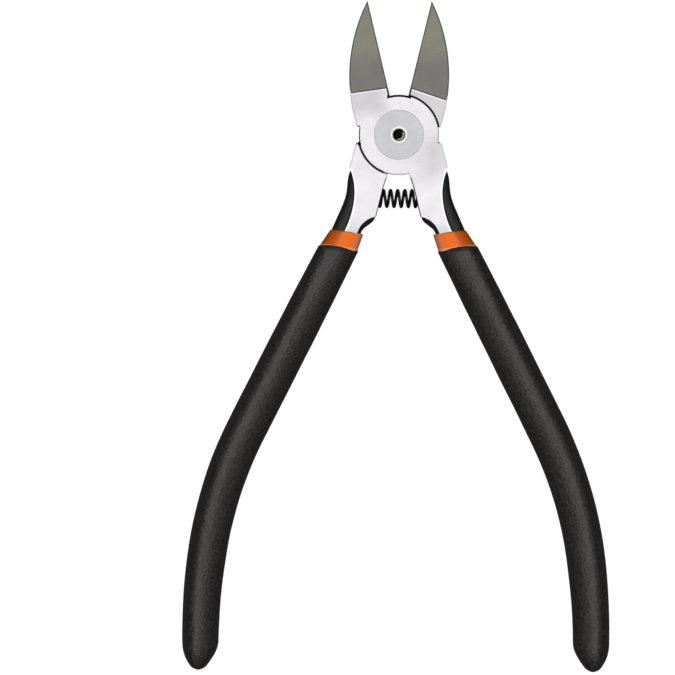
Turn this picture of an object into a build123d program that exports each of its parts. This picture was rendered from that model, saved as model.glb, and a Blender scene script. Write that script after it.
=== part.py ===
from build123d import *
import math
import os

# Diagonal cutting pliers with dipped handles, in millimetres.
# XY is the plane of the tool: +Y points at the jaw tips, and +Z out of the face that shows the screw.
# The origin is on the pivot axis, in the plane of the head's back face.
# Both levers are one forging. It is drawn shut, as the rear lever lies: its cutting edge is on x = 0,
# its jaw is at +x and its handle at -x. The front lever is the same forging turned over about Y.

# Head
HEAD_T = 8.4
MID_Z = HEAD_T / 2
REST_ANGLE = 13.4
BOSS_R = 9.4
SEAM = 0.25
LAP_GAP = 0.02
EDGE_BREAK = 0.25

# Jaw
EDGE_GAP = 0.02
TIP_Y = 32.4
JAW_TIP = (0.3, 32.1)
JAW_ARC_R = 39.0
JAW_CORNER = (9.25, 6.9)
JAW_SHOULDER = (9.15, 4.4)
JAW_ROOT = (8.25, 3.5)
FACET_Y = 11.2
FACET_TILT = -5.0
FRONT_SLOPE = 8.6
BACK_FACET_Y = 8.6
BACK_SLOPE = 7.6
BEVEL_ANGLE = 25.0
BEVEL_DEPTH = 12.0
BEVEL_BASE_Y = 10.8
CUTTER_OVERRUN = 2.0

# Tang, between the boss and the handle. The pad is the part of it that is ground flat, as thick as the head.
FORGED_T = 7.2
FORGED_ROUND = 1.6
FORGED_OUTER = ((-8.0, -8.6), (-9.2, -12.0), (-8.75, -16.0), (-9.3, -21.2), (-10.0, -25.0))
FORGED_END = ((-10.0, -25.0), (-11.45, -31.2), (-5.05, -32.7), (-3.1, -25.2))
FORGED_INNER = ((-3.1, -25.2), (-2.2, -22.6), (-0.95, -20.9), (-0.9, -19.6))
FORGED_ROOT = ((-0.9, -19.6), (-0.9, -9.5), (-8.0, -8.6))
PAD_SHOULDER = ((0, 0), (-8.45, -3.5), (-9.35, -4.4), (-9.45, -10.2))
PAD_OUTER = ((-9.45, -10.2), (-7.6, -13.3), (-6.45, -18.2), (-6.95, -24.8))
PAD_END = ((-6.95, -24.8), (-7.3, -27.0), (-5.0, -27.5), (-4.0, -24.4))
PAD_INNER = ((-4.0, -24.4), (-2.9, -21.6), (-0.6, -19.9))
PAD_ROOT = ((-0.6, -19.9), (-0.6, -13.0), (-0.35, -10.0), (0, 0))
COLLAR_END = -20.0

# Handle core and its two dipped layers
COLLAR_X = -6.4
COLLAR_Y = -24.9
HANDLE_ANGLE = 13.3
STRAIGHT = 51.6
UPPER_BEND_R = 95.0
UPPER_BEND = 17.0
LOWER_BEND_R = 135.0
LOWER_BEND = 13.1
CORE_START = 1.8
LAYER_START = -3.0
CORE_WIDTH = 6.7
CORE_WIDTH_END = 5.0
CORE_HEIGHT = 8.2
CORE_HEIGHT_END = 6.6
CORE_END = 104.0
CORE_STEPS = 6
LINER_WALL = 0.52
LINER_END = 105.4
GRIP_HEIGHT = 10.2
GRIP_SWELL = (
    (LAYER_START, 8.5),
    (6.0, 8.8),
    (18.0, 9.3),
    (36.0, 9.45),
    (54.0, 9.45),
    (72.0, 9.1),
    (85.0, 8.8),
    (94.0, 8.6),
    (100.0, 8.5),
    (103.4, 8.4),
)
NOSE_LENGTH = 6.9
NOSE_TIP = 2.0
NOSE_STEPS = 4
LINER_CORNER = 0.36
GRIP_CORNER = 0.42
DIP_TILT = 18.7
BAND = 4.3

# Pivot
SCREW_HEAD_R = 5.8
SCREW_HEAD_T = 1.6
SCREW_R = 2.0
SCREW_LENGTH = 5.2
HEX_AF = 2.6
HEX_DEPTH = 1.9
HEX_LEAD = 0.45
HEX_DRILL_R = 1.2
HEX_DRILL_POINT = 0.7
BARREL_R = 3.0
BARREL_FLANGE_R = 4.6
BARREL_FLANGE_T = 1.5
BARREL_FLOOR = 1.2
RUNNING_FIT = 0.03
HEAD_FIT = 0.05

# Return spring
SPRING_Y = -14.95
SPRING_R = 1.95
SPRING_WIRE_R = 0.35
SPRING_PITCH = 1.6
SPRING_TURNS = 9
SPRING_SEAT_R = 2.5
SPRING_SEAT_X = 7.6

os.makedirs("parts", exist_ok=True)


def handle_path():
    """The middle line of the handle: a straight from the collar, then two bends that bring it back in."""
    straight_way = (-math.sin(math.radians(HANDLE_ANGLE)), -math.cos(math.radians(HANDLE_ANGLE)))
    with BuildLine() as line:
        straight = PolarLine((COLLAR_X, COLLAR_Y), STRAIGHT, direction=straight_way)
        upper = JernArc(straight @ 1, straight % 1, UPPER_BEND_R, UPPER_BEND)
        JernArc(upper @ 1, upper % 1, LOWER_BEND_R, LOWER_BEND)
    return line.wires()[0]


PATH = handle_path()


def plane_at(distance):
    """The plane across the handle at a distance along its middle line from the collar's rim."""
    if distance < 0:
        start = PATH @ 0 + (PATH % 0) * distance
        return Plane(origin=start + Vector(0, 0, MID_Z), x_dir=(0, 0, 1), z_dir=PATH % 0)
    share = min(distance / PATH.length, 1.0)
    return Plane(origin=PATH @ share + Vector(0, 0, MID_Z), x_dir=(0, 0, 1), z_dir=PATH % share)


def handle_layer(stations, corner_share):
    """A solid along the handle through rounded sections given as (distance, width, height)."""
    with BuildPart() as layer:
        for distance, width, height in stations:
            with BuildSketch(plane_at(distance)):
                RectangleRounded(height, width, corner_share * min(width, height))
        loft()
    return layer.part


def core_stations(start, end, wall):
    """Sections of the tapering core, grown by the wall of the layer over it."""
    stations = []
    for step in range(CORE_STEPS + 1):
        distance = start + (end - start) * step / CORE_STEPS
        share = max(distance, 0.0) / CORE_END
        width = CORE_WIDTH + (CORE_WIDTH_END - CORE_WIDTH) * share + 2 * wall
        height = CORE_HEIGHT + (CORE_HEIGHT_END - CORE_HEIGHT) * share + 2 * wall
        stations.append((distance, width, height))
    return stations


def grip_stations():
    """Sections of the outer layer: a slow swell, then a nose that runs down a parabola to a blunt tip."""
    stations = [(distance, width, GRIP_HEIGHT) for distance, width in GRIP_SWELL]
    nose_start, nose_width = GRIP_SWELL[-1]
    for step in range(1, NOSE_STEPS + 1):
        share = step / NOSE_STEPS
        width = nose_width - (nose_width - NOSE_TIP) * share**2
        height = GRIP_HEIGHT - (GRIP_HEIGHT - NOSE_TIP) * share**2
        stations.append((nose_start + NOSE_LENGTH * share, width, height))
    return stations


def at_rest(piece, turned_over):
    """A piece of the shut rear lever, moved to its own lever at rest."""
    if turned_over:
        return piece.rotate(Axis((0, 0, MID_Z), (0, 1, 0)), 180).rotate(Axis.Z, REST_ANGLE)
    return piece.rotate(Axis.Z, -REST_ANGLE)


# The forging: a black forged tang, a full-thickness jaw and tang pad ground bright, and a half-thick boss
CORE = handle_layer(core_stations(CORE_START, CORE_END, 0), LINER_CORNER)
with BuildPart() as blank:
    with BuildSketch(Plane.XY.offset(MID_Z - FORGED_T / 2)):
        with BuildLine():
            Spline(*FORGED_OUTER)
            Polyline(*FORGED_END)
            Spline(*FORGED_INNER)
            Polyline(*FORGED_ROOT)
        make_face()
    extrude(amount=FORGED_T)
    fillet(edges().group_by(Axis.Z)[0] + edges().group_by(Axis.Z)[-1], FORGED_ROUND)
    add(CORE)
    with BuildSketch():
        with BuildLine():
            Polyline((EDGE_GAP, 0), (EDGE_GAP, TIP_Y), JAW_TIP)
            RadiusArc(JAW_TIP, JAW_CORNER, JAW_ARC_R)
            Polyline(JAW_CORNER, JAW_SHOULDER, JAW_ROOT, (EDGE_GAP, 0))
        make_face()
        with BuildLine():
            Polyline(*PAD_SHOULDER)
            Spline(*PAD_OUTER)
            Polyline(*PAD_END)
            Spline(*PAD_INNER)
            Polyline(*PAD_ROOT)
        make_face()
    extrude(amount=HEAD_T)
    with BuildSketch(Plane.XY.offset(MID_Z - LAP_GAP)):
        Circle(BOSS_R + SEAM)
    extrude(amount=HEAD_T, mode=Mode.SUBTRACT)
    with BuildSketch():
        Circle(BOSS_R)
    extrude(amount=MID_Z - LAP_GAP)
    rims = edges().group_by(Axis.Z)[0] + edges().group_by(Axis.Z)[-1]
    plain_rims = rims.filter_by(GeomType.BSPLINE, reverse=True)
    bare_rims = plain_rims.filter_by(lambda rim: rim.center().Y > COLLAR_END)
    open_rims = bare_rims.filter_by(lambda rim: abs(rim.center().X) > JAW_TIP[0])
    chamfer(open_rims, EDGE_BREAK)

# The grinding of the jaws, both levers shut: a front facet across both, a back facet, and the cutting bevel
FACET_NORMAL = Vector(0, 0, 1).rotate(Axis.X, -FRONT_SLOPE).rotate(Axis.Z, FACET_TILT)
BACK_NORMAL = Vector(0, 0, 1).rotate(Axis.X, BACK_SLOPE)
EDGE_WAY = Vector(0, -FACET_NORMAL.Z, FACET_NORMAL.Y).normalized()
EDGE_START = Vector(0, FACET_Y, HEAD_T) - EDGE_WAY * (TIP_Y + CUTTER_OVERRUN - FACET_Y)
with BuildPart() as bevel_cutter:
    with BuildSketch(Plane(origin=EDGE_START, x_dir=(1, 0, 0), z_dir=EDGE_WAY)):
        with BuildLine():
            bevel_foot = EDGE_GAP + BEVEL_DEPTH * math.tan(math.radians(BEVEL_ANGLE))
            Polyline((-1, 0), (EDGE_GAP, 0), (bevel_foot, -BEVEL_DEPTH), (-1, -BEVEL_DEPTH), close=True)
        make_face()
    extrude(amount=TIP_Y + CUTTER_OVERRUN - BEVEL_BASE_Y)


def ground(piece, bevel):
    """A shut lever with its jaw ground to two facets and a cutting bevel."""
    with BuildPart() as lever:
        add(piece)
        split(bisect_by=Plane(origin=(0, FACET_Y, HEAD_T), z_dir=FACET_NORMAL), keep=Keep.BOTTOM)
        split(bisect_by=Plane(origin=(0, BACK_FACET_Y, 0), z_dir=BACK_NORMAL), keep=Keep.TOP)
        add(bevel, mode=Mode.SUBTRACT)
    return lever.part


SPRING_AXIS = Plane(origin=(0, SPRING_Y, MID_Z), x_dir=(0, 1, 0), z_dir=(1, 0, 0))

# Rear lever: the right-hand jaw and the left-hand tang, with the barrel nut pressed into its boss
with BuildPart() as rear_lever:
    add(ground(blank.part, bevel_cutter.part).rotate(Axis.Z, -REST_ANGLE))
    with BuildSketch():
        Circle(BARREL_R)
    extrude(amount=HEAD_T, mode=Mode.SUBTRACT)
    with BuildSketch():
        Circle(BARREL_FLANGE_R)
    extrude(amount=BARREL_FLANGE_T, mode=Mode.SUBTRACT)
    with BuildSketch(SPRING_AXIS.offset(-SPRING_SEAT_X)):
        Circle(SPRING_SEAT_R)
    extrude(amount=SPRING_SEAT_X, mode=Mode.SUBTRACT)
rear_lever.part.label = "rear_lever"
export_step(rear_lever.part, "parts/rear_lever.step")

# Front lever: the left-hand jaw and the right-hand tang, free to turn on the barrel
turned_blank = blank.part.rotate(Axis((0, 0, MID_Z), (0, 1, 0)), 180)
turned_bevel = mirror(bevel_cutter.part, Plane.YZ, mode=Mode.PRIVATE)
with BuildPart() as front_lever:
    add(ground(turned_blank, turned_bevel).rotate(Axis.Z, REST_ANGLE))
    with BuildSketch():
        Circle(BARREL_R + RUNNING_FIT)
    extrude(amount=HEAD_T, mode=Mode.SUBTRACT)
    with BuildSketch(Plane.XY.offset(HEAD_T - SCREW_HEAD_T)):
        Circle(SCREW_HEAD_R + HEAD_FIT)
    extrude(amount=SCREW_HEAD_T, mode=Mode.SUBTRACT)
    with BuildSketch(SPRING_AXIS):
        Circle(SPRING_SEAT_R)
    extrude(amount=SPRING_SEAT_X, mode=Mode.SUBTRACT)
front_lever.part.label = "front_lever"
export_step(front_lever.part, "parts/front_lever.step")

# Pivot barrel: a flanged blind nut that carries both levers
with BuildPart() as pivot_barrel:
    with BuildSketch():
        Circle(BARREL_FLANGE_R)
    extrude(amount=BARREL_FLANGE_T)
    with BuildSketch(Plane.XY.offset(BARREL_FLANGE_T)):
        Circle(BARREL_R)
    extrude(amount=HEAD_T - SCREW_HEAD_T - BARREL_FLANGE_T + HEAD_FIT)
    chamfer(edges().group_by(Axis.Z)[0], EDGE_BREAK)
    with BuildSketch(Plane.XY.offset(BARREL_FLOOR)):
        Circle(SCREW_R)
    extrude(amount=HEAD_T, mode=Mode.SUBTRACT)
pivot_barrel.part.label = "pivot_barrel"
export_step(pivot_barrel.part, "parts/pivot_barrel.step")

# Pivot screw: a wide flat head with a hexagon socket, clamped on the end of the barrel
SCREW_SEAT_Z = HEAD_T - SCREW_HEAD_T + HEAD_FIT
with BuildPart() as pivot_screw:
    with BuildSketch(Plane.XY.offset(SCREW_SEAT_Z - SCREW_LENGTH)):
        Circle(SCREW_R)
    extrude(amount=SCREW_LENGTH)
    chamfer(edges().group_by(Axis.Z)[0], EDGE_BREAK)
    with BuildSketch(Plane.XY.offset(SCREW_SEAT_Z)):
        Circle(SCREW_HEAD_R)
    extrude(amount=HEAD_T - SCREW_SEAT_Z)
    chamfer(edges().group_by(Axis.Z)[-1], EDGE_BREAK / 4)
    with BuildSketch(Plane.XY.offset(HEAD_T - HEX_DEPTH)):
        RegularPolygon(HEX_AF / 2, 6, major_radius=False, rotation=30)
    extrude(amount=HEX_DEPTH, mode=Mode.SUBTRACT)
    with Locations((0, 0, HEAD_T - HEX_DEPTH)):
        drill_end = (Align.CENTER, Align.CENTER, Align.MAX)
        Cone(0, HEX_DRILL_R, HEX_DRILL_POINT, align=drill_end, mode=Mode.SUBTRACT)
    with BuildSketch(Plane.XY.offset(HEAD_T - HEX_LEAD)):
        Circle(HEX_AF / 2)
    with BuildSketch(Plane.XY.offset(HEAD_T)):
        Circle(HEX_AF / 2 + HEX_LEAD)
    loft(mode=Mode.SUBTRACT)
pivot_screw.part.label = "pivot_screw"
export_step(pivot_screw.part, "parts/pivot_screw.step")

# Return spring: one open coil between the seats in the two tangs
SPRING_LENGTH = SPRING_PITCH * SPRING_TURNS
with BuildPart() as return_spring:
    with BuildLine():
        coil = Helix(
            SPRING_PITCH,
            SPRING_LENGTH,
            SPRING_R,
            center=(-SPRING_LENGTH / 2, SPRING_Y, MID_Z),
            direction=(1, 0, 0),
        )
    with BuildSketch(Plane(origin=coil @ 0, z_dir=coil % 0)):
        Circle(SPRING_WIRE_R)
    sweep(is_frenet=True)
return_spring.part.label = "return_spring"
export_step(return_spring.part, "parts/return_spring.step")


def dip_plane(distance):
    """The slanting rim of a dipped layer, which faces back up to the head."""
    across = plane_at(distance)
    return Plane(origin=across.origin, z_dir=across.z_dir.rotate(Axis.Z, DIP_TILT))


# The two dipped layers of a handle, trimmed at their slanting rims: orange below, black over it
with BuildPart() as liner_blank:
    add(handle_layer(core_stations(LAYER_START, LINER_END, LINER_WALL), LINER_CORNER))
    split(bisect_by=dip_plane(0), keep=Keep.TOP)
with BuildPart() as grip_blank:
    add(handle_layer(grip_stations(), GRIP_CORNER))
    split(bisect_by=dip_plane(BAND), keep=Keep.TOP)
    add(liner_blank.part, mode=Mode.SUBTRACT)

with BuildPart() as rear_grip_liner:
    add(at_rest(liner_blank.part, False))
    add(rear_lever.part, mode=Mode.SUBTRACT)
rear_grip_liner.part.label = "rear_grip_liner"
export_step(rear_grip_liner.part, "parts/rear_grip_liner.step")

with BuildPart() as front_grip_liner:
    add(at_rest(liner_blank.part, True))
    add(front_lever.part, mode=Mode.SUBTRACT)
front_grip_liner.part.label = "front_grip_liner"
export_step(front_grip_liner.part, "parts/front_grip_liner.step")

with BuildPart() as rear_grip:
    add(at_rest(grip_blank.part, False))
rear_grip.part.label = "rear_grip"
export_step(rear_grip.part, "parts/rear_grip.step")

with BuildPart() as front_grip:
    add(at_rest(grip_blank.part, True))
front_grip.part.label = "front_grip"
export_step(front_grip.part, "parts/front_grip.step")
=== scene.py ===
import math
from functools import cached_property, reduce

import bmesh
import bpy
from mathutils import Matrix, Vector, noise


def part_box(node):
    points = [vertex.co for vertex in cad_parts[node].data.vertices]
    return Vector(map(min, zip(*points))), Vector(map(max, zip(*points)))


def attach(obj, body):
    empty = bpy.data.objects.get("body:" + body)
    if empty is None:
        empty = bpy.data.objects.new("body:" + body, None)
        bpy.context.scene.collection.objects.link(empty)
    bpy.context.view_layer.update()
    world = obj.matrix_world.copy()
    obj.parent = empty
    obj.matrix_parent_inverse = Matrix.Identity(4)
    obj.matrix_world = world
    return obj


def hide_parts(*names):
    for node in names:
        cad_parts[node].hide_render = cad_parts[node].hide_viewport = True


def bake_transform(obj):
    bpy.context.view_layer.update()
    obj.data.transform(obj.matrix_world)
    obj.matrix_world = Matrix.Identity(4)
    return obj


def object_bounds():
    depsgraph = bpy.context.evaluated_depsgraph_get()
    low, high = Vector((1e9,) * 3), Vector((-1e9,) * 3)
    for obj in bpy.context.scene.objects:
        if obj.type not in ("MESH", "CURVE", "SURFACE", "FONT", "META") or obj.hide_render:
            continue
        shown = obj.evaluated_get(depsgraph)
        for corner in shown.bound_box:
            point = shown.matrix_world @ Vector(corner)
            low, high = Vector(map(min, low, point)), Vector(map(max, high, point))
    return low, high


# Diagonal cutting pliers. The levers and the pivot are the CAD parts with finished surfaces. The two dipped
# layers of each handle and the return spring are meshes made here. Lengths are in millimetres, and become
# metres where they reach a mesh, a node or an object.
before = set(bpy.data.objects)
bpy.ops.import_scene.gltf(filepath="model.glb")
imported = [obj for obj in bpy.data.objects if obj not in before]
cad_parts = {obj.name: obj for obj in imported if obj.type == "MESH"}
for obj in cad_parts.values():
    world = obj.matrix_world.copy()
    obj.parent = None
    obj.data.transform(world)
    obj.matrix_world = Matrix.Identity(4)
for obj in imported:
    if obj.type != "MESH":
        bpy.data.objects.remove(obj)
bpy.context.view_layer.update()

MM = 0.001

# The head, round the pivot at x = y = 0: the boss, and the seam between it and the other lever
screw_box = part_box("pivot_screw")
HEAD_TOP = screw_box[1].z / MM
MID_Z = HEAD_TOP / 2
BOSS_R = 9.4
SEAM_R = BOSS_R + 0.25
REST_ANGLE = math.radians(13.4)

# A jaw, shut and mirrored to the right: the foot of its facet, and the arc of its back
FACET_Y = 11.2
FACET_TILT = math.radians(5.0)
JAW_TIP = Vector((0.3, 32.1))
JAW_CORNER = Vector((9.25, 6.9))
JAW_ARC_R = 39.0
half_chord = (JAW_CORNER - JAW_TIP) / 2
inward = Vector((half_chord.y, -half_chord.x)).normalized()
JAW_ARC_AT = JAW_TIP + half_chord + inward * math.sqrt(JAW_ARC_R**2 - half_chord.length_squared)

# Outer edge of a ground pad on its tang, shut and mirrored to the right
PAD_OUTER = ((9.45, -10.2), (7.6, -13.3), (6.45, -18.2), (6.95, -24.8))

# Middle line of the left handle at rest: a straight from the rim of the orange layer, and two bends
COLLAR = (-12.0, -22.74)
HANDLE_ANGLE = math.radians(26.7)
STRAIGHT = 51.6
BENDS = ((95.0, math.radians(17.0)), (135.0, math.radians(13.1)))

# Both dipped layers: their slanted rims, their sections and their slight lumps
DIP_SLOPE = math.tan(math.radians(18.7))
DIP_FADE = 14.0
BAND = 4.3
ROUNDED_BY = 20.0
AROUND = 72
LIP_STEPS = 8
LIP_GAP = 0.05
PAST_LIP = 0.8
LUMP = 0.06
LUMPS_ROUND = 1.4
LUMPS_ALONG = 0.13
LUMPS_APART = 9
LUMP_FULL_WIDTH = 2.0
RING_STEP = 3

# The inner layer. A power is that of its section's superellipse, at the rim and further on.
LINER_WIDTH = 7.74
LINER_FLARE = (7.35, 8.5)
LINER_FLARE_FADE = 3.0
LINER_HEIGHT = 9.24
LINER_TAPER = 0.0155
LINER_END = 103.0
LINER_WALL = 0.52
LINER_TUCK = 0.3
LINER_INSIDE = 0.4
LINER_POWER = (3.2, 2.6)
LINER_CREST = 0.03
LINER_LIP = 0.45
LINER_STEP = 0.5

# The outer layer. Its swell is given as (along, width).
GRIP_SWELL = (
    (-3, 8.8),
    (6, 9.0),
    (18, 9.38),
    (36, 9.52),
    (54, 9.52),
    (72, 9.25),
    (85, 9.1),
    (94, 8.88),
    (103.4, 8.58),
)
GRIP_HEIGHT = 10.2
GRIP_POWER = (2.6, 2.05)
GRIP_CREST = 0.115
GRIP_TUCK = 0.06
GRIP_INSIDE = 0.5
GRIP_LIP = 0.55
GRIP_STEP = 0.8
NOSE_START = GRIP_SWELL[-1][0]
NOSE_LENGTH = 6.9
NOSE_TAPER = 0.74
NOSE_DROP = 0.36
NOSE_CAP = 0.88
NOSE_LEAN = 0.6
NOSE_STEPS = 16
NOSE_REACH = 0.9995

# The return spring.
SPRING_Y = -14.95
SPRING_R = 1.95
WIRE_R = 0.36
SPRING_HALF = 6.9
SPRING_PITCH = 1.68
STEPS_PER_TURN = 36
WIRE_STEPS = 14

# The floor: its size in metres, its grey and glow to the camera, and its grey to other light
FLOOR_SIZE = 30.0
FLOOR_SEEN = 0.5
FLOOR_GLOW = 0.8
FLOOR_UNSEEN = 0.14

# The light and the camera, in metres
VIEW_AT = (-0.01411, -0.04768)
VIEW_WIDTH = 0.1586
VIEW_ROLL = math.radians(0.35)
CAMERA_FAR = 4.0
CLIP_FAR = 100.0
SENSOR = 36.0
BOX_AT = (-0.0144, -0.0476)
BOX_SIZE = 0.62
BOX_HEIGHT = 0.9
BOX_RADIANCE = 3.8
SKY_LOW = 0.045
SKY_HIGH = 0.5
SKY_FULL_AT = 0.9


def smooth(share):
    """An S-curve from 0 to 1, flat at both ends."""
    share = min(max(share, 0.0), 1.0)
    return share * share * (3 - 2 * share)


def handle_point(along, across):
    """The place at a distance along the left handle and another across it, outwards."""
    before_bend = min(along, STRAIGHT)
    angle = HANDLE_ANGLE
    x = COLLAR[0] - before_bend * math.sin(angle)
    y = COLLAR[1] - before_bend * math.cos(angle)
    left = max(along - STRAIGHT, 0.0)
    for radius, sweep in BENDS:
        turn = min(left / radius, sweep)
        x += radius * (math.cos(angle) - math.cos(angle - turn))
        y += radius * (math.sin(angle - turn) - math.sin(angle))
        angle -= turn
        left -= turn * radius
    x -= left * math.sin(angle)
    y -= left * math.cos(angle)
    return x - across * math.cos(angle), y + across * math.sin(angle)


def grip_size(along):
    """Width and height of the outer layer, down to a point at the end of its nose."""
    width = GRIP_SWELL[-1][1]
    for (near, near_width), (far, far_width) in zip(GRIP_SWELL, GRIP_SWELL[1:]):
        if along <= far:
            width = near_width + (far_width - near_width) * (along - near) / (far - near)
            break
    nose = min(max((along - NOSE_START) / NOSE_LENGTH, 0.0), 1.0)
    cap = max((nose - NOSE_CAP) / (1 - NOSE_CAP), 0.0)
    closing = math.sqrt(1 - cap * cap)
    narrower = (1 - NOSE_TAPER * nose * nose) * closing
    lower = (1 - NOSE_DROP * nose**3) * closing
    return width * narrower, GRIP_HEIGHT * lower


def liner_size(along):
    """Width and height of the inner layer, which flares from its rim down to the rim of the outer layer."""
    thinner = LINER_TAPER * max(along, 0.0)
    width = LINER_WIDTH - thinner
    if along < BAND + LINER_FLARE_FADE:
        flare = LINER_FLARE[0] + (LINER_FLARE[1] - LINER_FLARE[0]) * min(max(along, 0.0) / BAND, 1.0)
        width = flare + (LINER_WIDTH - flare) * smooth((along - BAND) / LINER_FLARE_FADE)
    return width, LINER_HEIGHT - thinner


def sleeve(name, rings, powers, crest, rear):
    """A closed skin through rings given as (along, width, height).

    Its crest lies outward of its middle by a share of its width. The attributes along, in millimetres, and
    across, from -1 at the inner side to 1 at the outer, are for its material.
    """
    built = bmesh.new()
    along_layer = built.verts.layers.float.new("along")
    across_layer = built.verts.layers.float.new("across")
    side = 1 if rear else -1

    def corner(along, slide, across, up, share):
        x, y = handle_point(along + slide, across)
        vert = built.verts.new((side * x * MM, y * MM, (MID_Z + up) * MM))
        vert[along_layer] = along
        vert[across_layer] = share
        return vert

    def lean(along):
        return NOSE_LEAN * smooth((along - NOSE_START) / NOSE_LENGTH)

    loops = []
    for along, width, height in rings:
        slant = DIP_SLOPE * (1 - smooth((along - BAND) / DIP_FADE)) * width / 2
        power = powers[0] + (powers[1] - powers[0]) * smooth((along - BAND) / (ROUNDED_BY - BAND))
        loop = []
        for step in range(AROUND):
            turn = 2 * math.pi * step / AROUND
            cos, sin = math.cos(turn), math.sin(turn)
            across = math.copysign(abs(cos) ** (2 / power), cos) * width / 2
            up = math.copysign(abs(sin) ** (2 / power), sin) * height / 2
            lump_at = (cos * LUMPS_ROUND, sin * LUMPS_ROUND + LUMPS_APART * side, along * LUMPS_ALONG)
            grow = 1 + LUMP * noise.noise(Vector(lump_at)) * 2 / max(width, LUMP_FULL_WIDTH)
            share = 2 * across / width
            ridge = crest * width * (2 * up / height) ** 2 * (1 - share * share)
            outward = (across + ridge) * grow + lean(along)
            loop.append(corner(along, share * slant, outward, up * grow, share))
        loops.append(loop)
    for near, far in zip(loops, loops[1:]):
        for step in range(AROUND):
            built.faces.new((near[step - 1], near[step], far[step], far[step - 1]))
    for loop, (along, _, _) in ((loops[0], rings[0]), (loops[-1], rings[-1])):
        tip = corner(along, 0, lean(along), 0, 0)
        for step in range(AROUND):
            built.faces.new((loop[step - 1], loop[step], tip))
    bmesh.ops.recalc_face_normals(built, faces=built.faces)
    return finish_mesh(name, built)


def finish_mesh(name, built):
    """A smooth-shaded object from a finished bmesh."""
    mesh = bpy.data.meshes.new(name)
    built.to_mesh(mesh)
    built.free()
    mesh.shade_smooth()
    piece = bpy.data.objects.new(name, mesh)
    bpy.context.scene.collection.objects.link(piece)
    return piece


def lip(rim, inner, outer, radius):
    """Rings that round the rim of a layer over from its inner size to its outer size."""
    rings = []
    for step in range(LIP_STEPS + 1):
        turn = math.pi / 2 * step / LIP_STEPS
        share = math.sin(turn)
        rings.append(
            (
                rim + radius * (1 - math.cos(turn)),
                inner[0] + (outer[0] - inner[0]) * share,
                inner[1] + (outer[1] - inner[1]) * share,
            )
        )
    return rings


def run(start, end, step):
    """Even distances from start to end, both included."""
    count = max(round(abs(end - start) / step), 1)
    return [start + (end - start) * place / count for place in range(count + 1)]


def shrunk(size, wall):
    """A width and a height, less a wall on each side."""
    return size[0] - 2 * wall, size[1] - 2 * wall


def liner_rings():
    """The inner layer: its inside, tucked into the steel, the rounded rim, and its outside."""
    tuck = LINER_WALL + LINER_TUCK
    inner_places = run(LINER_END - 1, LINER_INSIDE, RING_STEP)
    inside = [(along, *shrunk(liner_size(along), tuck)) for along in inner_places]
    rim = lip(0, shrunk(liner_size(0), tuck), liner_size(LINER_LIP + LIP_GAP), LINER_LIP)
    places = run(PAST_LIP, BAND + LINER_FLARE_FADE, LINER_STEP) + run(BAND + 5, LINER_END, RING_STEP)
    return inside + rim + [(along, *liner_size(along)) for along in places]


def grip_rings():
    """The outer layer: its inside, tucked into the liner, the rounded rim, its outside and its nose."""
    inner_places = run(LINER_END + 1, BAND + GRIP_INSIDE, RING_STEP)
    inside = [(along, *shrunk(liner_size(along), GRIP_TUCK)) for along in inner_places]
    rim = lip(BAND, shrunk(liner_size(BAND), GRIP_TUCK), grip_size(BAND + GRIP_LIP + LIP_GAP), GRIP_LIP)
    places = run(BAND + PAST_LIP, NOSE_START, GRIP_STEP)
    for step in range(1, NOSE_STEPS + 1):
        places.append(NOSE_START + math.sin(math.pi / 2 * step / NOSE_STEPS) * NOSE_LENGTH * NOSE_REACH)
    return inside + rim + [(along, *grip_size(along)) for along in places]


def coil(name):
    """The return spring: a wire wound on the line between its two seats, with a face over each end."""
    built = bmesh.new()
    turns = 2 * SPRING_HALF / SPRING_PITCH
    count = round(turns * STEPS_PER_TURN)
    loops = []
    for step in range(count + 1):
        turn = 2 * math.pi * turns * step / count
        x = -SPRING_HALF + 2 * SPRING_HALF * step / count
        cos, sin = math.cos(turn), math.sin(turn)
        out = Vector((0, cos, sin))
        way = Vector((SPRING_PITCH / (2 * math.pi), -SPRING_R * sin, SPRING_R * cos)).normalized()
        side = way.cross(out)
        loop = []
        for corner in range(WIRE_STEPS):
            spin = 2 * math.pi * corner / WIRE_STEPS
            place = out * (SPRING_R + WIRE_R * math.cos(spin)) + side * WIRE_R * math.sin(spin)
            place += Vector((x, SPRING_Y, MID_Z))
            loop.append(built.verts.new(place * MM))
        loops.append(loop)
    for near, far in zip(loops, loops[1:]):
        for corner in range(WIRE_STEPS):
            built.faces.new((near[corner - 1], near[corner], far[corner], far[corner - 1]))
    built.faces.new(loops[0])
    built.faces.new(loops[-1])
    bmesh.ops.recalc_face_normals(built, faces=built.faces)
    return finish_mesh(name, built)


def grey(value):
    """A neutral colour."""
    return (value, value, value, 1.0)


# How much a face looks up or down, from 0 when upright to 1 when level. Each pair is the two ends of a step.
LEVEL = (0.994, 0.997)
NEARLY_LEVEL = (0.94, 0.96)
UPRIGHT = (0.4, 0.2)
OFF_UPRIGHT = (0.1, 0.45)
SOCKET_WALL = (0.6, 0.5)
EDGE_STEPS = ((0.6, 0.65), (0.9, 0.8))

# Roughness, and how far painted shade, forged skin and painted edge highlights stop looking like metal
FORGED_ROUGH = 0.55
SHADE_ROUGH = 0.9
EDGE_ROUGH = 0.8
RIM_ROUGH = 0.8
STEEL_METAL_LOSS = 0.85
DISC_METAL_LOSS = 0.9

# Grain: stretches and scales of textures, in cells for each metre
GRIND_LINES = (260, 9000, 9000)
TURNING_MARKS = 4200.0
VINYL_PORES = 1500.0

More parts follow.
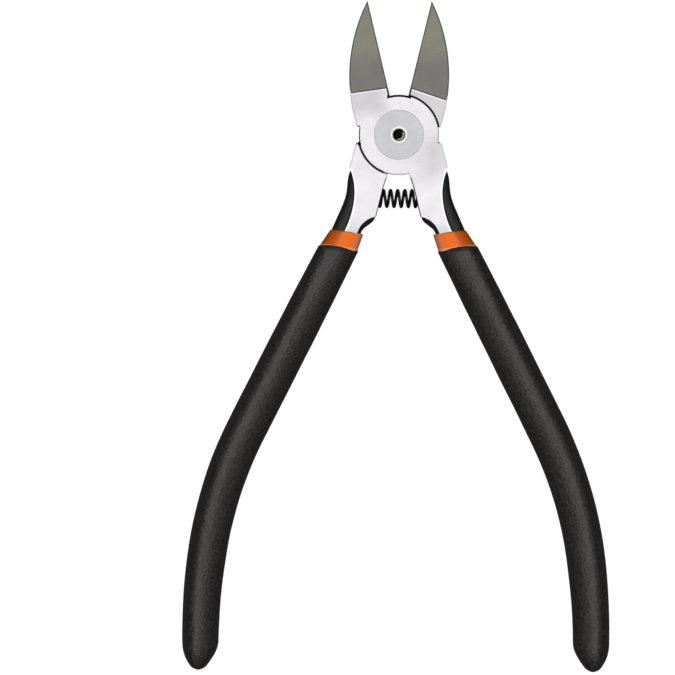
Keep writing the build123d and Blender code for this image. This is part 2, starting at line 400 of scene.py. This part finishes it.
# Colours. A pair is the darker and the lighter of one surface.
GROUND = ((0.625, 0.606, 0.627, 1), (0.665, 0.645, 0.668, 1))
GROUND_SHADED = (0.505, 0.483, 0.503, 1)
GROUND_COOL = (0.49, 0.53, 0.575, 1)
FACET = (0.149, 0.141, 0.132, 1)
FACET_TIP = (0.188, 0.186, 0.146, 1)
FACET_CLOUD = (0.208, 0.204, 0.183, 1)
FACET_EDGE_SHADE = (0.035, 0.035, 0.03, 1)
FORGED = ((0.005, 0.005, 0.006, 1), (0.016, 0.016, 0.018, 1))
FORGED_SIDE_SHADE = grey(0.006)
FOOT_HIGHLIGHT = grey(0.8)
PAD_RIM_HIGHLIGHT = grey(0.85)
STEEL_EDGE_HIGHLIGHT = grey(0.9)
SHADE_COLOUR = grey(0.002)
DISC = ((0.355, 0.351, 0.37, 1), (0.40, 0.395, 0.417, 1))
DISC_RIM_HIGHLIGHT = grey(0.75)
SOCKET_RIM_HIGHLIGHT = grey(0.95)
SOCKET_SHADE = grey(0.003)
SOCKET_GLINT = grey(0.95)
WIRE = (grey(0.006), grey(0.016))
BLACK = ((0.005, 0.0042, 0.0041, 1), (0.027, 0.0232, 0.0225, 1))
BLACK_CLOUD = (0.013, 0.011, 0.0106, 1)
BLACK_TINT = (1.0, 0.947, 0.95, 1)
ORANGE = ((0.89, 0.151, 0.0, 1), (0.98, 0.177, 0.003, 1))
ORANGE_INNER_HIGHLIGHT = (0.76, 0.26, 0.14, 1)
ORANGE_OUTER_SHADE = (0.47, 0.075, 0.0, 1)
ORANGE_RIM_HIGHLIGHT = (0.86, 0.5, 0.33, 1)


class Finish:
    """A node material. Each method adds nodes and returns what comes out of them."""

    def __init__(self, name):
        self.material = bpy.data.materials.new(name)
        self.material.use_nodes = True
        self.tree = self.material.node_tree
        self.shader = self.tree.nodes["Principled BSDF"]
        self.place = self.add("ShaderNodeTexCoord").outputs["Object"]
        self.x, self.y, self.z = self.split(self.place)
        normal = self.add("ShaderNodeNewGeometry").outputs["True Normal"]
        self.facing = self.math("ABSOLUTE", self.split(normal)[2])

    def add(self, kind, inputs=None, **settings):
        node = self.tree.nodes.new(kind)
        for name, value in settings.items():
            setattr(node, name, value)
        for name, value in (inputs or {}).items():
            self.feed(node.inputs[name], value)
        return node

    def feed(self, socket, value):
        if isinstance(value, bpy.types.NodeSocket):
            self.tree.links.new(value, socket)
        else:
            socket.default_value = value

    def split(self, vector):
        return self.add("ShaderNodeSeparateXYZ", {"Vector": vector}).outputs

    def math(self, operation, first, second=0.0, third=0.0):
        return self.add("ShaderNodeMath", {0: first, 1: second, 2: third}, operation=operation).outputs[0]

    def size(self, value):
        """A number without its sign."""
        return self.math("ABSOLUTE", value)

    def less(self, first, second):
        """The first number less the second."""
        return self.math("SUBTRACT", first, second)

    def scaled(self, value, by, plus=0.0):
        """A number times another, and a third added."""
        return self.math("MULTIPLY_ADD", value, by, plus)

    def length(self, first, second):
        """The length of the flat vector of two numbers."""
        squares = self.math("ADD", self.math("POWER", first, 2), self.math("POWER", second, 2))
        return self.math("SQRT", squares)

    # Measures of a place, in metres, and masks that follow the way a face looks

    @cached_property
    def radius(self):
        """The distance from the pivot's axis."""
        return self.length(self.x, self.y)

    @cached_property
    def width(self):
        """The distance from the plane between the two sides."""
        return self.size(self.x)

    @cached_property
    def off_middle(self):
        """The distance from the plane where the levers lap."""
        return self.size(self.less(self.z, MID_Z * MM))

    @cached_property
    def level(self):
        """The level faces."""
        return self.rise(self.facing, *LEVEL)

    @cached_property
    def edge(self):
        """The chamfers and rounded edges."""
        return self.both(*(self.rise(self.facing, *step) for step in EDGE_STEPS))

    def turned(self, angle):
        """A place's x and y, mirrored to the right side and turned round the pivot."""
        sine, cosine = math.sin(angle), math.cos(angle)
        x = self.less(self.scaled(self.width, cosine), self.scaled(self.y, sine))
        y = self.math("ADD", self.scaled(self.width, sine), self.scaled(self.y, cosine))
        return x, y

    # Masks, from 0 to 1

    def rise(self, value, low, high):
        """0 below low and 1 above high, with a soft step between them. High may be the smaller."""
        inputs = {"Value": value, "From Min": low, "From Max": high}
        return self.add("ShaderNodeMapRange", inputs, interpolation_type="SMOOTHSTEP").outputs["Result"]

    def past(self, value, low, high):
        """The soft step of rise, for a measure in metres and bounds in millimetres."""
        return self.rise(value, low * MM, high * MM)

    def band(self, value, low, high, soft):
        """1 between two bounds in millimetres, with a step as wide as soft inside each of them."""
        return self.both(self.past(value, low, low + soft), self.past(value, high, high - soft))

    def region(self, **steps):
        """1 where all the named measures are past their steps, each given as (low, high) in millimetres."""
        return self.both(*(self.past(getattr(self, name), *step) for name, step in steps.items()))

    def spot(self, x, y, inner, outer):
        """1 within a radius of a point of the XY-plane, and 0 outside another radius, in millimetres."""
        return self.past(self.length(self.less(self.x, x * MM), self.less(self.y, y * MM)), outer, inner)

    def both(self, *masks):
        """Where all the masks are: their product. A number among them weakens it."""
        return reduce(lambda first, second: self.math("MULTIPLY", first, second), masks)

    def either(self, *masks):
        """Where any of the masks is: the largest of them."""
        return reduce(lambda first, second: self.math("MAXIMUM", first, second), masks)

    def off(self, mask):
        """Where a mask isn't."""
        return self.less(1.0, mask)

    # Colours and textures

    def blend(self, share, first, second):
        """A mix of two colours."""
        inputs = {0: share, 6: first, 7: second}
        return self.add("ShaderNodeMix", inputs, data_type="RGBA").outputs[2]

    def coat(self, colour, mask, over, strength=1.0):
        """A colour with another laid over it where a mask is, wholly or at part strength."""
        if strength < 1.0:
            mask = self.both(mask, strength)
        return self.blend(mask, colour, over)

    def lerp(self, share, first, second):
        """A mix of two numbers."""
        return self.add("ShaderNodeMix", {0: share, 2: first, 3: second}, data_type="FLOAT").outputs[0]

    def stretched(self, scale):
        inputs = {"Vector": self.place, "Scale": scale}
        return self.add("ShaderNodeMapping", inputs, vector_type="POINT").outputs["Vector"]

    def noise(self, scale, detail, roughness, vector=None):
        """Noise from 0 to 1, with its scale in cells for each metre."""
        inputs = {"Vector": vector or self.place, "Scale": scale, "Detail": detail, "Roughness": roughness}
        return self.add("ShaderNodeTexNoise", inputs).outputs["Fac"]

    def attribute(self, name):
        return self.add("ShaderNodeAttribute", attribute_name=name).outputs["Fac"]

    def bump(self, height, depth):
        """A bumpy normal. The depth is in millimetres."""
        inputs = {"Height": height, "Strength": 1.0, "Distance": depth * MM}
        return self.add("ShaderNodeBump", inputs).outputs["Normal"]

    def curve(self, at, points):
        """The polynomial in at that passes through the points, each of them (value, at)."""
        terms = [value for value, _ in points]
        places = [place for _, place in points]
        for step in range(1, len(points)):
            for i in range(len(points) - 1, step - 1, -1):
                terms[i] = (terms[i] - terms[i - 1]) / (places[i] - places[i - step])
        result = terms[-1]
        for term, place in zip(reversed(terms[:-1]), reversed(places[:-1])):
            result = self.math("MULTIPLY_ADD", self.less(at, place), result, term)
        return result

    def surface(self, **values):
        """Settings and links of the shader itself, by socket name with underscores for spaces."""
        for name, value in values.items():
            self.feed(self.shader.inputs[name.replace("_", " ")], value)
        return self.material


def shut_jaw(paint):
    """Distances from the cutting edge, from the back and past the facet's foot, in the plane of a shut jaw."""
    x, y = paint.turned(REST_ANGLE)
    sideways = paint.both(x, paint.math("SIGN", paint.x), math.sin(FACET_TILT))
    past_foot = paint.scaled(paint.less(y, FACET_Y * MM), math.cos(FACET_TILT), plus=sideways)
    from_centre = paint.length(paint.less(x, JAW_ARC_AT.x * MM), paint.less(y, JAW_ARC_AT.y * MM))
    return paint.size(x), paint.less(JAW_ARC_R * MM, from_centre), past_foot


def past_pad(paint):
    """The distance out from the outer edge of a ground pad, in the plane of a shut tang."""
    x, y = paint.turned(-REST_ANGLE)
    return paint.less(x, paint.curve(y, [(across * MM, up * MM) for across, up in PAD_OUTER]))


def seam_shade(paint):
    """Painted shade between the boss and the other lever, except on the wall that is open between the tangs.
    """
    in_seam = paint.band(paint.radius, BOSS_R - 0.35, SEAM_R + 0.3, soft=0.1)
    on_wall = paint.either(paint.rise(paint.facing, *UPRIGHT), paint.region(off_middle=(0.2, 0.1)))
    on_lips = paint.band(paint.radius, BOSS_R - 0.12, SEAM_R + 0.12, soft=0.04)
    painted_shade = paint.either(paint.both(in_seam, on_wall), paint.both(on_lips, paint.off(paint.level)))
    open_wall = paint.region(width=(3.7, 3.3), y=(-7.8, -8.2), off_middle=(0.2, 0.3))
    return paint.both(painted_shade, paint.off(open_wall))


def steel():
    """Ground steel: bright flats, darker jaw facets, a black forged skin on the tangs, painted shade in the
    seams.
    """
    paint = Finish("ground_steel")
    broad = paint.noise(scale=60, detail=3, roughness=0.5)
    cloud = paint.noise(scale=220, detail=4, roughness=0.6)
    lines = paint.noise(scale=1, detail=3, roughness=0.6, vector=paint.stretched(GRIND_LINES))
    grain = paint.noise(scale=2600, detail=3, roughness=0.6)

    # Bright flats, with painted shade on the jaws and by the right shoulder, and cooler down the tangs
    left_jaw = paint.region(x=(-1.2, -5.2), y=(2.5, 6.5))
    right_jaw = paint.region(radius=(BOSS_R, BOSS_R + 0.2), y=(0.5, 0.9), x=(0.0, 1.0))
    shoulder = paint.both(paint.spot(x=8.2, y=-4.6, inner=0.5, outer=9.5), 0.8)
    bright = paint.blend(broad, *GROUND)
    bright = paint.coat(bright, paint.either(left_jaw, right_jaw, shoulder), GROUND_SHADED)
    bright = paint.coat(bright, paint.region(y=(-20.0, -23.5)), GROUND_COOL)

    # Dark facets, olive towards the tips, each with a line of painted shade round it and a painted highlight
    # below its foot
    from_cut, from_back, past_foot = shut_jaw(paint)
    sloped = paint.both(paint.rise(paint.facing, *NEARLY_LEVEL), paint.off(paint.level))
    facet = paint.both(sloped, paint.region(y=(7.8, 8.2)))
    facet_colour = paint.coat(FACET, paint.region(y=(15.5, 21.5)), FACET_TIP)
    facet_colour = paint.coat(facet_colour, cloud, FACET_CLOUD, strength=0.25)
    to_side = paint.math("MINIMUM", from_cut, from_back)
    facet_edge_shade = paint.past(paint.math("MINIMUM", to_side, paint.size(past_foot)), 0.4, 0.15)
    facet_colour = paint.coat(facet_colour, facet_edge_shade, FACET_EDGE_SHADE, strength=0.9)
    foot_highlight = paint.both(paint.past(past_foot, -0.36, -0.2), paint.region(y=(3, 5)))
    bright = paint.coat(bright, foot_highlight, FOOT_HIGHLIGHT, strength=0.55)
    colour = paint.blend(facet, bright, facet_colour)

    # The black forged skin of the tangs, below their ground pads
    on_tang = paint.either(paint.region(y=(-9.8, -10.2)), paint.region(width=(6.8, 7.2), y=(-8.2, -8.6)))
    forged = paint.both(paint.region(off_middle=(MID_Z - 0.02, MID_Z - 0.1)), on_tang)
    forged_colour = paint.blend(grain, *FORGED)
    # Painted shade: the skin is darker on its rounded sides, below its top
    forged_colour = paint.coat(forged_colour, paint.region(off_middle=(3.4, 2.9)), FORGED_SIDE_SHADE)
    colour = paint.coat(colour, forged, forged_colour)

    # The pad's outer edge: a painted highlight along its rim, and painted shade at the foot of its step
    outside = past_pad(paint)
    lower = paint.region(y=(-7.4, -7.8))
    pad_rim_highlight = paint.both(paint.past(outside, -0.44, -0.34), lower, paint.level, paint.off(forged))
    colour = paint.coat(colour, pad_rim_highlight, PAD_RIM_HIGHLIGHT, strength=0.8)
    pad_foot_shade = paint.both(paint.past(outside, 0.34, 0.24), paint.past(outside, -0.6, -0.4), lower, forged)

    # Painted shade: in the seam, in the notch at the left shoulder, in the crack between the jaws and in the
    # throat
    notch = paint.both(paint.region(x=(-8.3, -8.6), radius=(10.4, 10.3)), paint.off(paint.level))
    notch = paint.both(notch, paint.band(paint.y, -2.7, 1.7, soft=0.2))
    crack = paint.both(paint.past(from_cut, 0.44, 0.38), paint.past(past_foot, 0.2, 0.1), paint.off(facet))
    crack = paint.both(crack, paint.region(y=(8.6, 8.8)))
    throat = paint.region(y=(8.2, 8.4), radius=(8.86, 8.92), width=(2.9, 2.7))
    throat = paint.both(throat, paint.region(radius=(9.8, 9.7)))
    painted_shade = paint.either(seam_shade(paint), notch, crack, throat, pad_foot_shade)
    # Painted highlight on the chamfers and rounded edges, except on the forged skin
    colour = paint.coat(colour, paint.both(paint.edge, paint.off(forged)), STEEL_EDGE_HIGHLIGHT)
    colour = paint.coat(colour, painted_shade, SHADE_COLOUR)

    dark = paint.either(forged, painted_shade)
    rough = paint.lerp(facet, paint.scaled(cloud, by=0.1, plus=0.54), paint.scaled(cloud, by=0.15, plus=0.42))
    rough = paint.lerp(dark, rough, paint.lerp(painted_shade, FORGED_ROUGH, SHADE_ROUGH))
    return paint.surface(
        Base_Color=colour,
        Metallic=paint.off(paint.both(paint.either(dark, paint.edge), STEEL_METAL_LOSS)),
        Roughness=paint.lerp(paint.edge, rough, EDGE_ROUGH),
        Specular_IOR_Level=0.3,
        Normal=paint.bump(paint.lerp(forged, lines, grain), depth=0.012),
    )


def pivot_steel():
    """The satin head of the pivot, with turning marks round its axis and painted shade in its socket."""
    paint = Finish("pivot_steel")
    marks_at = paint.add("ShaderNodeCombineXYZ", {"X": paint.scaled(paint.radius, by=TURNING_MARKS)})
    marks = paint.noise(scale=1, detail=3, roughness=0.7, vector=marks_at.outputs["Vector"])
    cloud = paint.noise(scale=260, detail=4, roughness=0.6)
    colour = paint.blend(marks, *DISC)
    # Painted highlight on the rounded edge round the head
    colour = paint.coat(colour, paint.both(paint.edge, paint.region(radius=(5.2, 5.4))), DISC_RIM_HIGHLIGHT)

    # The socket's rim with a painted highlight, and painted shade in its hollow with a painted glint on the
    # wall
    lead_in = paint.both(paint.edge, paint.region(radius=(1.9, 1.8)))
    socket_rim_highlight = paint.both(paint.region(radius=(1.9, 1.82)), 0.7)
    colour = paint.coat(colour, paint.either(lead_in, socket_rim_highlight), SOCKET_RIM_HIGHLIGHT)
    walls = paint.both(paint.region(radius=(1.6, 1.5)), paint.rise(paint.facing, *SOCKET_WALL))
    bottom = paint.region(radius=(1.6, 1.5), z=(7.9, 7.7))
    mouth = paint.region(radius=(1.47, 1.41))
    toward = paint.scaled(paint.y, -0.6, plus=paint.scaled(paint.x, 0.8))
    glint = paint.both(paint.past(paint.radius, 0.82, 0.96), paint.past(paint.radius, 1.24, 1.16))
    glint = paint.both(glint, paint.past(toward, 0.1, 0.8))
    hollow_shade = paint.coat(SOCKET_SHADE, glint, SOCKET_GLINT)
    colour = paint.coat(colour, paint.either(mouth, walls, bottom), hollow_shade)
    return paint.surface(
        Base_Color=colour,
        Metallic=paint.off(paint.both(paint.edge, DISC_METAL_LOSS)),
        Roughness=paint.lerp(paint.edge, paint.scaled(cloud, by=0.1, plus=0.48), EDGE_ROUGH),
        Normal=paint.bump(marks, depth=0.006),
    )


def spring_steel():
    """Black oiled wire."""
    paint = Finish("spring_steel")
    speck = paint.noise(scale=3000, detail=3, roughness=0.6)
    return paint.surface(
        Base_Color=paint.blend(speck, *WIRE),
        Metallic=0.6,
        Roughness=paint.scaled(speck, by=0.2, plus=0.42),
        Normal=paint.bump(speck, depth=0.008),
    )


def black_vinyl():
    """Matte dipped vinyl with a fine grain, duller at its rim."""
    paint = Finish("black_vinyl")
    grain = paint.noise(scale=1250, detail=3, roughness=0.55)
    pores = paint.add("ShaderNodeTexVoronoi", {"Vector": paint.place, "Scale": VINYL_PORES})
    relief = paint.scaled(grain, 0.6, plus=paint.scaled(pores.outputs["Distance"], 0.5))
    cloud = paint.noise(scale=120, detail=4, roughness=0.6)
    colour = paint.blend(paint.rise(grain, 0.3, 0.7), *BLACK)
    colour = paint.coat(colour, cloud, BLACK_CLOUD, strength=0.3)
    at_rim = paint.rise(paint.attribute("along"), BAND + 1.6, BAND + 0.5)
    return paint.surface(
        Base_Color=colour,
        Roughness=paint.lerp(at_rim, paint.scaled(cloud, by=0.1, plus=0.41), RIM_ROUGH),
        Specular_IOR_Level=0.375,
        Specular_Tint=BLACK_TINT,
        Normal=paint.bump(relief, depth=0.13),
    )


def orange_vinyl():
    """Smooth dipped vinyl: painted highlight inside, painted shade outside, painted highlight under the black
    layer's rim.
    """
    paint = Finish("orange_vinyl")
    across = paint.attribute("across")
    cloud = paint.noise(scale=300, detail=3, roughness=0.5)
    fine = paint.noise(scale=1500, detail=3, roughness=0.6)
    colour = paint.blend(cloud, *ORANGE)
    # Painted highlight on the inner side
    inner = paint.both(paint.rise(across, -0.42, -1.05), paint.rise(paint.facing, *OFF_UPRIGHT))
    colour = paint.coat(colour, inner, ORANGE_INNER_HIGHLIGHT)
    # Painted shade on the outer side
    colour = paint.coat(colour, paint.rise(across, 0.04, 0.32), ORANGE_OUTER_SHADE, strength=0.9)
    # A painted highlight line just under the black layer's rim
    orange_rim_highlight = paint.rise(paint.attribute("along"), BAND - 0.45, BAND - 0.25)
    colour = paint.coat(colour, orange_rim_highlight, ORANGE_RIM_HIGHLIGHT, strength=0.6)
    return paint.surface(
        Base_Color=colour,
        Roughness=paint.scaled(cloud, by=0.1, plus=0.36),
        Specular_IOR_Level=0.12,
        Normal=paint.bump(fine, depth=0.02),
    )


def dress(obj, material):
    """Puts one material on an object."""
    if not obj.material_slots:
        obj.data.materials.append(material)
    for place in obj.material_slots:
        place.material = material


# Steel parts: the CAD nodes themselves
steel_finish = steel()
pivot_finish = pivot_steel()
for node_name, material in (
    ("rear_lever", steel_finish),
    ("front_lever", steel_finish),
    ("pivot_barrel", pivot_finish),
    ("pivot_screw", pivot_finish),
):
    dress(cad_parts[node_name], material)

# Dipped layers
orange_finish = orange_vinyl()
black_finish = black_vinyl()
for half in ("rear", "front"):
    for layer, rings, powers, crest, material, slot in (
        ("grip_liner", liner_rings(), LINER_POWER, LINER_CREST, orange_finish, "orange_vinyl"),
        ("grip", grip_rings(), GRIP_POWER, GRIP_CREST, black_finish, "black_vinyl"),
    ):
        piece = sleeve(half + "_" + layer + "_skin", rings, powers, crest, half == "rear")
        dress(piece, material)
        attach(piece, half + "_half")
        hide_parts(half + "_" + layer)

# Return spring, from one tang to the other
spring = coil("return_spring_coil")
dress(spring, spring_steel())
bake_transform(spring)
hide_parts("return_spring")

# Floor, bright to the camera and darker to the light that it throws back
floor_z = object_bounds()[0][2]
bpy.ops.mesh.primitive_plane_add(size=FLOOR_SIZE, location=(0, 0, floor_z))
floor = bpy.context.object
floor.name = "floor"
card = bpy.data.materials.new("floor_card")
card.use_nodes = True
nodes = card.node_tree.nodes
links = card.node_tree.links
nodes.clear()
seen = nodes.new("ShaderNodeBsdfDiffuse")
seen.inputs["Color"].default_value = grey(FLOOR_SEEN)
glow = nodes.new("ShaderNodeEmission")
glow.inputs["Strength"].default_value = FLOOR_GLOW
lit = nodes.new("ShaderNodeAddShader")
unseen = nodes.new("ShaderNodeBsdfDiffuse")
unseen.inputs["Color"].default_value = grey(FLOOR_UNSEEN)
path = nodes.new("ShaderNodeLightPath")
mixed = nodes.new("ShaderNodeMixShader")
out = nodes.new("ShaderNodeOutputMaterial")
links.new(path.outputs["Is Camera Ray"], mixed.inputs["Fac"])
links.new(unseen.outputs[0], mixed.inputs[1])
links.new(seen.outputs[0], lit.inputs[0])
links.new(glow.outputs[0], lit.inputs[1])
links.new(lit.outputs[0], mixed.inputs[2])
links.new(mixed.outputs[0], out.inputs["Surface"])
floor.data.materials.append(card)

# Soft light from above: a sky that brightens upwards, and a square softbox
world = bpy.data.worlds.new("studio")
world.use_nodes = True
bpy.context.scene.world = world
nodes = world.node_tree.nodes
links = world.node_tree.links
where = nodes.new("ShaderNodeTexCoord")
parts = nodes.new("ShaderNodeSeparateXYZ")
climb = nodes.new("ShaderNodeMapRange")
climb.inputs["From Min"].default_value = 0.0
climb.inputs["From Max"].default_value = SKY_FULL_AT
climb.inputs["To Min"].default_value = SKY_LOW
climb.inputs["To Max"].default_value = SKY_HIGH
links.new(where.outputs["Generated"], parts.inputs[0])
links.new(parts.outputs["Z"], climb.inputs["Value"])
links.new(climb.outputs["Result"], nodes["Background"].inputs["Strength"])
nodes["Background"].inputs["Color"].default_value = grey(1.0)

lamp = bpy.data.lights.new("softbox", "AREA")
lamp.shape = "SQUARE"
lamp.size = BOX_SIZE
lamp.energy = BOX_RADIANCE * math.pi * BOX_SIZE**2
softbox = bpy.data.objects.new("softbox", lamp)
softbox.location = (*BOX_AT, BOX_HEIGHT)
softbox.visible_camera = False
bpy.context.scene.collection.objects.link(softbox)

# Camera straight above, on a very long lens
view = bpy.data.cameras.new("camera")
view.sensor_width = SENSOR
view.lens = SENSOR * CAMERA_FAR / VIEW_WIDTH
view.clip_end = CLIP_FAR
camera = bpy.data.objects.new("camera", view)
camera.location = (*VIEW_AT, CAMERA_FAR + MID_Z * MM)
camera.rotation_euler = (0, 0, VIEW_ROLL)
bpy.context.scene.collection.objects.link(camera)
bpy.context.scene.camera = camera
bpy.context.scene.view_settings.view_transform = "Standard"
